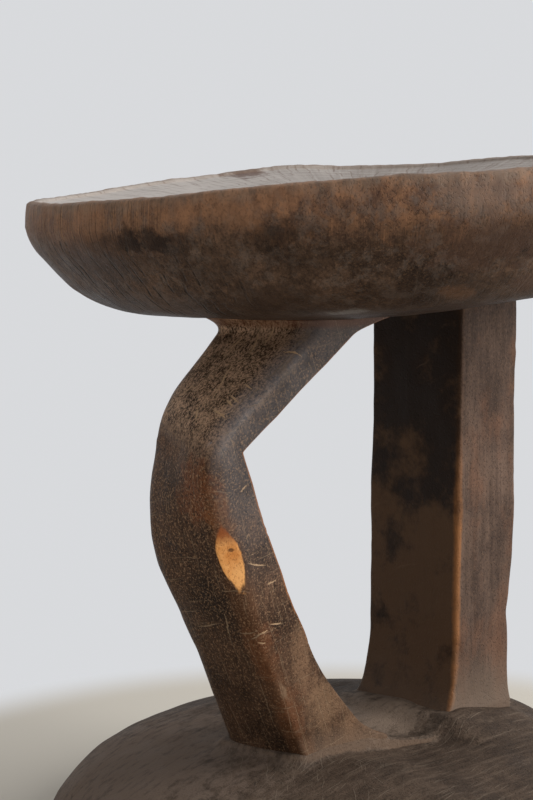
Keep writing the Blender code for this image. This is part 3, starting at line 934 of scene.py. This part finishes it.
def makeLegWood():
    w = legWood
    made = startWood("legWood", w)
    where, fibre = made["where"], made["fibre"]
    high = add("SeparateXYZ", {0: where}).outputs[2]
    outer = attribute("outer")
    shin = ramp(high, 0.215, 0.185)
    tint(made, times(outer, shin), "outer", 0.36)
    upper = times(outer, minus(1.0, shin))
    # on the thigh's outer face, a mottle of dark and tan: partly the wood's own tan flecks, partly painted
    # light that brightens this upward face
    thighTanAndLight = cloud(stretched(where, (0.7, 1, 0.7), (4, 2, 8), (0, 0.87, 0)), 1150.0, 4.0, 0.75)
    thighTanAndLight = plus(thighTanAndLight, ramp(cloud(where, 130.0, 3.0, 0.6), 0.3, 0.7, -0.06, 0.06))
    tint(made, upper, mixed(ramp(thighTanAndLight, 0.39, 0.62), w["outer"], w["thighTanAndLight"]), 0.9)
    # painted sheen: a greyish tint on the side faces (facing -y) of thigh and knee, in place of the reflection
    # of the bright surroundings
    side = times(attribute("side"), ramp(high, 0.13, 0.19))
    tint(made, side, "paintedSheenGrey", 0.6)
    foot = times(ramp(high, 0.110, 0.070), minus(1.0, outer))
    tint(made, times(foot, ramp(fibre["Mottle"], 0.36, 0.6)), "tan", 0.55)
    tintSpots(made, "spots")
    fade = ramp(high, 0.065, 0.150, 0.45, 1.0)
    share = minus(1.0, times(upper, 0.5))
    speckle(made, times(share, minus(fade, times(attribute("side"), 0.25))))
    dusty = plus(high, swing(fibre["Mottle"], 0.012))
    tint(made, times(ramp(dusty, 0.070, 0.058), attribute("side")), "dustAndPaintedLight", 0.7)
    ridge = wornMask(made, "ridge", 1.3)
    lower = ramp(high, 0.205, 0.17)
    tint(made, times(ridge, lower), "ridge", 0.22)
    arris = wornMask(made, "arris", 0.9)
    tint(made, times(arris, ramp(high, 0.10, 0.135)), "arris", 0.7)
    # painted sheen: a broad pale band along the thigh's rounded ridge, in place of a highlight
    paintedRidgeSheen = times(ramp(attribute("ridge"), 0.2, 1.0), ramp(high, 0.190, 0.215))
    tint(made, times(paintedRidgeSheen, ramp(fibre["Mottle"], 0.3, 0.6, 0.5, 1.0)), "paintedRidgeSheen", 0.65)
    # painted highlight at the knee
    tintSpots(made, "paintedHighlightSpots")
    collar = times(attribute("collar"), ramp(fibre["Mottle"], 0.3, 0.55, 0.5, 1.0))
    tint(made, collar, "red", 0.65)
    faces = {"thigh": upper, "shin": times(outer, shin), "side": attribute("side")}
    hairs = hairLines(made, faces)
    tint(made, hairs, "thinScratch", 0.55)
    made["height"] = minus(made["height"], times(hairs, 0.5))
    for group in legScratches:
        scratch(made, *group)
    chip = attribute("chip")
    edge = cloud(stretched(where, (1, 1, 0.5)), 260.0, 4.0, 0.6)
    chip = plus(chip, swing(edge, 1.2))
    chip = ramp(chip, -0.1, 0.3)
    bare = mixed(ramp(fibre["Mottle"], 0.36, 0.6), w["chipDark"], w["chip"])
    redder = ramp(plus(high, times(edge, 0.006)), 0.1600, 0.1665)
    bare = mixed(redder, bare, w["chipRed"])
    bare = mixed(times(fibre["Pore"], 0.3), bare, w["chipRed"])
    tint(made, chip, bare)
    tintSpots(made, "knot")
    made["dull"] = chip
    thigh = times(attribute("side"), ramp(high, 0.12, 0.19))
    made["sheen"] = times(thigh, ramp(fibre["Mottle"], 0.3, 0.55, 0.45, 1.0))
    return finishWood(made)


# straight post: level rings with worn corners and a flared foot

postShape = {
    "innerX": 0.0376,
    "outerX": 0.0805,
    "halfWidth": 0.0283,
    "topLean": 0.0016,
    "taper": 0.0030,
    "taperRun": (0.135, 0.100),
    "dents": ((0.0995, 0.005, 0.0009),),
    "footFlare": (0.036, 0.005, 2.0),
    "fillet": (0.010, 0.0026, 2.0),
    "sideShare": 0.3,
    "cornerRound": 0.0026,
    "cornerSteps": 7,
    "sideSteps": (36, 46, 36, 46),
    "levels": 190,
    "sunk": 0.010,
    "buried": 0.016,
    "plainEnd": 0.012,
    "innerFacing": (0.3, 0.8),
    "arrisWear": 0.0034,
    "otherArris": 0.45,
    "waves": ((0.0006, 0.03, 3.0), (0.0002, 0.010, 7.0)),
    "toolMarks": (0.017, 0.0006),
    "nicks": (2, 0.016, 5.0, 0.0016),
}


def makePost(material):
    s = postShape
    bottom, top = plinthTop - s["sunk"], seatBelly + s["buried"]
    levels = []
    for i in range(s["levels"] + 1):
        z = bottom + (top - bottom) * i / s["levels"]
        lean = s["topLean"] * (z - plinthTop) / (seatBelly - plinthTop)
        spread = flare(z - plinthTop, s["footFlare"])
        fillet = flare(z - plinthTop, s["fillet"])
        inner, outer = s["innerX"] + lean - spread - fillet, s["outerX"] + fillet * s["sideShare"]
        outer -= s["taper"] * eased(*s["taperRun"], z) + bumps(s["dents"], z)
        half = s["halfWidth"] + (spread + fillet) * s["sideShare"]
        plan = (inner, -half), (outer, -half), (outer, half), (inner, half)
        corners = [(x, y, s["cornerRound"], s["cornerSteps"]) for x, y in plan]
        levels.append([(x, y, z, corner, gap) for x, y, corner, gap in roundedOutline(corners, s["sideSteps"])])
    bm, rings, (arris, innerFace) = stackedRings(levels, ("arris", "inner"))
    bm.normal_update()
    normals = {v: v.normal.copy() for v in bm.verts}
    for ring, places in zip(rings, levels):
        for vert, (x, y, z, corner, gap) in zip(ring, places):
            vert[arris] = math.exp(-((gap / s["arrisWear"]) ** 2)) * (1.0 if corner == 0 else s["otherArris"])
            vert[innerFace] = eased(*s["innerFacing"], -normals[vert].x)
            uneven = ripples(vert.co, s["waves"]) + toolMarks(vert.co, *s["toolMarks"])
            nick = nicks((x, y, z), *s["nicks"]) * vert[arris]
            ends = eased(0.0, s["plainEnd"], z - bottom)
            vert.co += normals[vert] * (uneven * ends - nick)
    finishPiece("straightPost", bm, material, "straight_post")


postWood = {
    "light": (0.112, 0.072, 0.053, 1),
    "dark": (0.062, 0.039, 0.029, 1),
    "speck": (0.18, 0.110, 0.070, 1),
    "specks": 0.25,
    "pore": (0.020, 0.012, 0.008, 1),
    "pores": 0.35,
    "streak": 0.22,
    "fineness": 0.8,
    "rough": 0.55,
    "gloss": 0.09,
    "bump": 0.4,
    "arris": (0.34, 0.145, 0.054, 1),
    "red": (0.15, 0.072, 0.042, 1),
    # painted shade: near-black and dark tan for the inner face
    "inner": (0.020, 0.0120, 0.0083, 1),
    "innerTan": (0.105, 0.060, 0.034, 1),
    "dustAndPaintedLight": (0.165, 0.118, 0.086, 1),
    "hairs": (((280, 60, 120), 0.45, 1.2, "everywhere"),),
}


def makePostWood():
    w = postWood
    made = startWood("postWood", w)
    where, fibre = made["where"], made["fibre"]
    high = add("SeparateXYZ", {0: where}).outputs[2]
    patches = ramp(cloud(stretched(where, (1, 1, 0.55), (2, 4, 6)), 34.0, 4.0, 0.6), 0.5, 0.66)
    tint(made, patches, "red", 0.6)
    speckle(made)
    arris = wornMask(made, "arris", 1.0)
    strong = ramp(calc("ABSOLUTE", minus(high, 0.092)), 0.05, 0.11, 1.0, 0.05)
    strong = times(strong, ramp(fibre["Mottle"], 0.34, 0.58, 0.45, 1.0))
    # painted shade: the inner face, turned from the lamp and under the seat, is tinted near black, darker
    # towards the top
    shaded = plus(fibre["Mottle"], ramp(high, 0.10, 0.24, 0.20, -0.08))
    innerShade = mixed(ramp(shaded, 0.46, 0.68), w["inner"], w["innerTan"])
    tint(made, attribute("inner"), innerShade, 0.93)
    tint(made, times(arris, strong), "arris", 0.8)
    tint(made, hairLines(made, {"everywhere": 1.0}), "speck", 0.25)
    dusty = plus(high, swing(fibre["Mottle"], 0.016))
    outside = minus(1.0, times(attribute("inner"), 0.75))
    tint(made, times(ramp(dusty, 0.090, 0.056), outside), "dustAndPaintedLight", 0.75)
    return finishWood(made)


# base: a turned dome, and the low plinth on it that both feet stand on

baseShape = {
    "radius": 0.147,
    "height": 0.0555,
    "floorRound": 0.006,
    "climbToPost": 0.014,
    "climbToFront": 0.015,
    "scoop": 0.0062,
    "scoopRun": 0.045,
    "dome": ((0, 1), (0.27, 0.995), (0.48, 0.96), (0.66, 0.86), (0.87, 0.63), (0.97, 0.335), (1, 0.16)),
    "waves": ((0.0007, 0.03, 8.0), (0.0003, 0.012, 3.0)),
    "evenBelow": (0.010, 0.025),
    "steps": 400,
    "crowding": 1.25,
    "domeRings": 90,
    "floorRings": 8,
}
plinthShape = {
    "climbToFront": 0.1,
    "hollowDepth": 0.0022,
    "hollowRounds": (0.070, 0.013),
    "hollowEdge": 0.0010,
    "hollowX": 0.013,
    "hollowClimb": 0.08,
    "left": -0.0662,
    "right": 0.0800,
    "corner": 0.007,
    "slack": 0.0003,
    "postSpread": 0.0072,
    "spreadRun": (-0.016, 0.028),
    "endDrop": 0.0085,
    "endRun": (0.034, 0.080),
    "postRun": (0.006, 0.028),
    "lip": 0.0014,
    "lipInset": (0.0012, 0.0045),
    "lipDepth": (0.0, 0.012),
    "lipRuns": ((-0.030, -0.010), (0.040, 0.026)),
    "grooveReach": (0.012, 0.005),
    "topRound": 0.0004,
    "shoulder": 0.0016,
    "shoulderSlope": 1.0,
    "frontSlope": 3.4,
    "legSlope": 1.7,
    "postSlope": 1.5,
    "fillets": (0.0030, 0.0011, 0.0048),
    "filletRuns": ((-0.015, -0.050), (0.010, 0.030)),
    "skirt": 0.0006,
    "skirtRun": (0.010, 0.020),
    "waves": ((0.0003, 0.011, 12.0),),
    "grid": (250, 136),
    "acrossX": ((-1, -0.115), (-0.8, -0.080), (-0.55, -0.063), (0.6, 0.078), (0.8, 0.090), (1, 0.118)),
    "acrossY": ((-1, -0.062), (-0.75, -0.0345), (-0.35, -0.0255), (0.35, 0.0255), (0.75, 0.0345), (1, 0.060)),
}


def domeHeight(x, y):
    s = baseShape
    z = s["height"] * curveAt(s["dome"], min(math.hypot(x, y) / s["radius"], 1.0))
    scoop = s["scoop"] * eased(0, s["scoopRun"] / 2, -y) * eased(-s["scoopRun"], 0, x)
    return z + (s["climbToPost"] * x - s["climbToFront"] * y - scoop) * z / s["height"]


def domeUneven(x, y):
    return ripples((x, y, 0.05), baseShape["waves"])


def makeBase(material):
    s = baseShape
    profile = []
    for i in range(s["domeRings"] + 1):
        share = 1 - (1 - i / s["domeRings"]) ** s["crowding"]
        profile.append((s["radius"] * share, s["height"] * curveAt(s["dome"], share)))
    for i in range(s["floorRings"] + 1):
        turn = math.pi / 2 * i / s["floorRings"]
        profile.append(
            (s["radius"] - s["floorRound"] * (1 - math.cos(turn)), s["floorRound"] * (1 - math.sin(turn)))
        )
    profile += [(s["radius"] * share, 0.0) for share in (0.8, 0.5, 0.2, 0.0)]
    bm = turned(profile, s["steps"])
    bm.normal_update()
    for vert in bm.verts:
        x, y, z = vert.co
        if z > s["floorRound"]:
            vert.co.z = domeHeight(x, y) + domeUneven(x, y) * eased(*s["evenBelow"], z)
    finishPiece("domedBase", bm, material, "base")


def plinthHeight(x, y):
    s = plinthShape
    level = plinthTop - s["climbToFront"] * y - s["endDrop"] * eased(*s["endRun"], x)
    bend = s["hollowRounds"][x > s["hollowX"]]
    sag = plinthTop - s["hollowDepth"] + s["hollowClimb"] * y + (x - s["hollowX"]) ** 2 / (2 * bend)
    return smoothMin(level, sag, s["hollowEdge"])


def makePlinth(material):
    # a patch of the dome's top, raised to the plinth with a fillet round it
    s = plinthShape
    bm = bmesh.new()
    bmesh.ops.create_grid(bm, x_segments=s["grid"][0], y_segments=s["grid"][1], size=1.0)
    front = bm.verts.layers.float.new("front")
    grooveShade = bm.verts.layers.float.new("grooveShade")
    middleX, halfX = (s["left"] + s["right"]) / 2, (s["right"] - s["left"]) / 2
    for vert in bm.verts:
        x, y = curveAt(s["acrossX"], vert.co.x), curveAt(s["acrossY"], vert.co.y)
        halfY = halfWidth + s["slack"] + s["postSpread"] * eased(*s["spreadRun"], x)
        pastX, pastY = abs(x - middleX) - halfX + s["corner"], abs(y) - halfY + s["corner"]
        outX, outY = max(pastX, 0.0), max(pastY, 0.0)
        past = math.hypot(outX, outY) + min(max(pastX, pastY), 0.0) - s["corner"]
        endwards = outX**2 / max(outX**2 + outY**2, 1e-12)
        endSlope = s["legSlope"] if x < middleX else s["postSlope"]
        slope = s["frontSlope"] + endwards * (endSlope - s["frontSlope"])
        low = domeHeight(x, y) + domeUneven(x, y)
        level = plinthHeight(x, y)
        behind = eased(*s["lipInset"], -past) * eased(*s["lipDepth"], -y)
        for run in s["lipRuns"]:
            behind *= eased(*run, x)
        wavy = ripples((x, y, 0), s["waves"])
        legFillet, fillet, postFillet = s["fillets"]
        atLeg, atFillet = (eased(*run, x) for run in s["filletRuns"])
        fillet += (legFillet - fillet) * atLeg + (postFillet - fillet) * atFillet
        atPost = eased(*s["postRun"], x)
        slope += (s["shoulderSlope"] - slope) * atPost
        away = smoothMax(past, 0.0, s["topRound"] + s["shoulder"] * atPost)
        z = smoothMax(level + wavy - s["lip"] * behind - slope * away, low, fillet)
        vert.co = (x, y, z - s["skirt"] * eased(*s["skirtRun"], past))
        edge = eased(-0.0006, 0.0004, past) * eased(0.0040, 0.0006, past) * eased(0.0002, 0.0015, level - low)
        vert[front] = edge * (eased(-0.080, -0.040, x) * 0.6 + 0.4) * (1 - 0.8 * atPost)
        vert[grooveShade] = behind * eased(*s["grooveReach"], -past)
    finishPiece("footPlinth", bm, material, "base")


baseWood = {
    "light": (0.084, 0.057, 0.040, 1),
    "dark": (0.044, 0.029, 0.020, 1),
    "speck": (0.14, 0.10, 0.072, 1),
    "specks": 0.25,
    "pore": (0.014, 0.009, 0.006, 1),
    "pores": 0.4,
    "streak": 0.12,
    "fineness": 1.0,
    "rough": 0.72,
    "gloss": 0.12,
    "bump": 0.5,
    "hairline": (0.24, 0.19, 0.14, 1),
    "sill": (0.145, 0.093, 0.061, 1),
    "dustAndPaintedLight": (0.142, 0.101, 0.076, 1),
    "pale": (0.195, 0.144, 0.108, 1),
    "hairs": (
        ((-40, 340, 60), 0.55, 0.9, "everywhere"),
        ((-90, 320, 0), 0.48, 0.9, "everywhere"),
        ((250, -240, 0), 0.52, 2.6, "middle"),
        ((300, -60, 0), 0.46, 2.6, "middle"),
    ),
    "spots": (
        # painted light: a large pale patch on the dome's left, turned from the lamp, in place of fill light
        ((-0.095, 0.055, 0.040), (0.090, 0.090, 0.045), "dustAndPaintedLight", 0.95),
        ((0.010, 0.002, 0.052), (0.055, 0.036, 0.018), "pale", 0.75),
    ),
}


def makeBaseWood():
    made = startWood("baseWood", baseWood)
    where = made["where"]
    speckle(made)
    middle = ramp(blob(made, (-0.076, -0.034, 0.050), (0.055, 0.060, 0.030)), 0.0, 0.45)
    lines = hairLines(made, {"everywhere": 1.0, "middle": middle})
    tint(made, lines, "hairline", 0.4)
    checks = place(dryingChecks, {"Vector": where, "Count": 40.0, "Amount": 0.25})
    tint(made, checks["Mask"], "pore", 0.5)
    tintSpots(made, "spots")
    lay = cloud(stretched(where, (0.12, 1, 1)), 330.0, 4.0, 0.62)
    tint(made, ramp(lay, 0.50, 0.68), "pore", 0.35)
    tint(made, ramp(lay, 0.48, 0.32), "speck", 0.35)
    # painted shade in the groove behind the plinth's front lip
    tint(made, attribute("grooveShade"), "pore", 0.5)
    sill = wornMask(made, "front", 1.0)
    tint(made, sill, "sill", 0.65)
    made["height"] = plus(made["height"], times(lines, 0.4))
    return finishWood(made)


makeSeat(makeSeatWood())
makeLeg(makeLegWood())
makePost(makePostWood())
baseMaterial = makeBaseWood()
makeBase(baseMaterial)
makePlinth(baseMaterial)
print("stool built")


# floor, light and camera

studio = {
    "floor": (0.60, 0.555, 0.48, 1),
    "wall": (0.690, 0.700, 0.720, 1),
    "floorRadius": 9.0,
    "floorRough": 0.7,
    "tableReach": (0.255, 0.315),
    "worldLight": 0.52,
    "keyPlace": (0.75, -1.15, 1.0),
    "keyAim": (0.0, 0.0, 0.16),
    "keySize": 1.1,
    "keyPower": 28.0,
    "lens": 81.0,
    "sensor": 36.0,
    "eye": (-0.60235, -0.56242, 0.310),
    "look": (0.68933, 0.71382, -0.12360),
}


def seenDirectly():
    path = add("LightPath").outputs
    return calc("MAXIMUM", path["Is Camera Ray"], path["Is Glossy Ray"])


def blend(factor, first, second, output):
    both = add("MixShader", {0: factor, 1: first.outputs[0], 2: second.outputs[0]})
    link(both.outputs[0], current["tree"].nodes[output].inputs["Surface"])


def makeFloor():
    bm = bmesh.new()
    bmesh.ops.create_circle(bm, cap_ends=True, segments=96, radius=studio["floorRadius"])
    mesh = bpy.data.meshes.new("studioFloor")
    bm.to_mesh(mesh)
    bm.free()
    floor = bpy.data.objects.new("studioFloor", mesh)
    scene.collection.objects.link(floor)
    material = newMaterial("paleFloor")
    shader = current["tree"].nodes["Principled BSDF"]
    shader.inputs["Roughness"].default_value = studio["floorRough"]
    shader.inputs["Base Color"].default_value = studio["floor"]
    away = vecCalc("LENGTH", add("TexCoord").outputs["Object"], out=1)
    far = ramp(away, *studio["tableReach"])
    glow = add("Emission", {"Color": studio["wall"], "Strength": 1.0})
    blend(times(far, seenDirectly()), shader, glow, "Material Output")
    mesh.materials.append(material)


def makeWorld():
    world = bpy.data.worlds.new("studioAir")
    world.use_nodes = True
    current["tree"] = world.node_tree
    lit = world.node_tree.nodes["Background"]
    lit.inputs["Color"].default_value = (1.0, 1.0, 1.0, 1)
    lit.inputs["Strength"].default_value = studio["worldLight"]
    shown = add("Background", {"Color": studio["wall"], "Strength": 1.0})
    blend(seenDirectly(), lit, shown, "World Output")
    scene.world = world


def makeLamp():
    lamp = bpy.data.lights.new("keyLight", "AREA")
    lamp.size = studio["keySize"]
    lamp.energy = studio["keyPower"]
    holder = bpy.data.objects.new("keyLight", lamp)
    holder.location = studio["keyPlace"]
    aim = Vector(studio["keyAim"]) - Vector(studio["keyPlace"])
    holder.rotation_euler = aim.to_track_quat("-Z", "Y").to_euler()
    scene.collection.objects.link(holder)


def makeCamera():
    view = bpy.data.cameras.new("photoCamera")
    view.lens = studio["lens"]
    view.sensor_width = studio["sensor"]
    view.clip_start = 0.01
    holder = bpy.data.objects.new("photoCamera", view)
    holder.location = studio["eye"]
    holder.rotation_euler = Vector(studio["look"]).to_track_quat("-Z", "Y").to_euler()
    scene.collection.objects.link(holder)
    scene.camera = holder


makeFloor()
makeWorld()
makeLamp()
makeCamera()
scene.view_settings.view_transform = "Standard"
print("studio ready")
